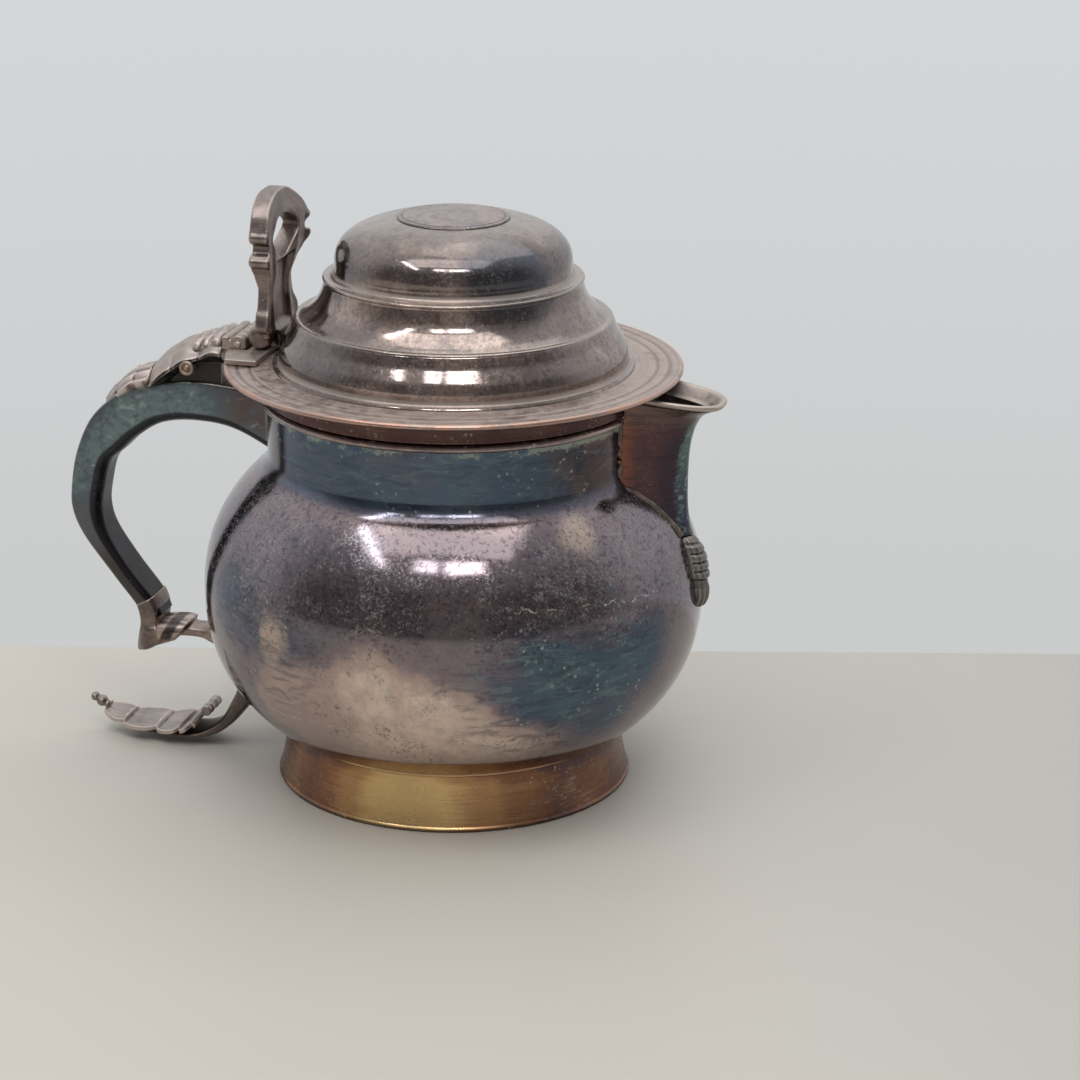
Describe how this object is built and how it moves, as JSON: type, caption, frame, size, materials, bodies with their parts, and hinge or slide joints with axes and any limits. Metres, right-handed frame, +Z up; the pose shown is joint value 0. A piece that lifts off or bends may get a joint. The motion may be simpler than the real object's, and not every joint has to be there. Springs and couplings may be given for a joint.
{
  "type": "lidded ale jug",
  "caption": "Round-bellied lidded ale jug on a spun foot, with a stepped dome lid, open thumbpiece, beak spout and C-scroll handle.",
  "frame": {"origin": "middle of the whole jug's box, on the plane that the foot stands on", "axes": "+X from the handle towards the spout, +Y to the left seen from behind the handle, +Z up along the jug's axis"},
  "size_m": [0.2176, 0.1616, 0.1908],
  "materials": {
    "silvered_belly": "tarnished silver plate, purple-grey with brown and blue patches",
    "worn_foot": "tarnished silver plate worn to yellow and red-brown metal",
    "neck_wire": "tarnished wire with greenish white deposit",
    "silvered_neck": "tarnished silver plate, dark blue-green, brushed round",
    "silvered_spout": "tarnished silver plate, dark red-brown",
    "lip_wire": "tarnished wire, grey-beige",
    "cast_drop": "cast metal, dark brown-grey",
    "hollow_handle": "tarnished silver plate, blue-green with dark brown inner face",
    "cast_fittings": "cast metal, dark brown-grey with coppery highlights",
    "cast_leaves": "cast metal, dusty pinkish grey with dark creases",
    "hinge_metal": "dusty grey metal",
    "pin_wire": "drawn wire, grey",
    "silvered_lid": "tarnished silver plate, purple-brown with beige dust",
    "lid_disc": "tarnished plate, dusty grey",
    "cast_thumbpiece": "cast metal, grey-brown"
  },
  "bodies": {
    "jug": {"body_shell": "silvered_belly", "foot_ring": "worn_foot", "neck_bead": "neck_wire", "rim_band": "silvered_neck", "spout_shell": "silvered_spout", "spout_lip": "lip_wire", "spout_drop": "cast_drop", "handle_scroll": "hollow_handle", "handle_beak": "cast_fittings", "handle_strut": "cast_fittings", "handle_leaf_tip": "cast_leaves", "handle_leaf_cap": "cast_leaves", "volute_right": "cast_leaves", "volute_left": "cast_leaves", "tail_scroll": "cast_fittings", "tail_leaf": "cast_leaves", "tail_tip": "cast_leaves", "tail_curl": "cast_fittings", "hinge_bracket": "hinge_metal", "hinge_pin": "pin_wire"},
    "lid": {"lid_brim": "silvered_lid", "lid_dome": "silvered_lid", "lid_top_disc": "lid_disc", "lid_bezel": "silvered_lid", "lid_hinge_plate": "hinge_metal", "thumbpiece": "cast_thumbpiece"}
  },
  "joints": [
    {"name": "lid_hinge", "type": "hinge", "parent": "jug", "child": "lid", "pos_m": [-0.04804, 0, 0.14129], "axis": [0, -1, 0], "range_deg": [0, 100]}
  ]
}
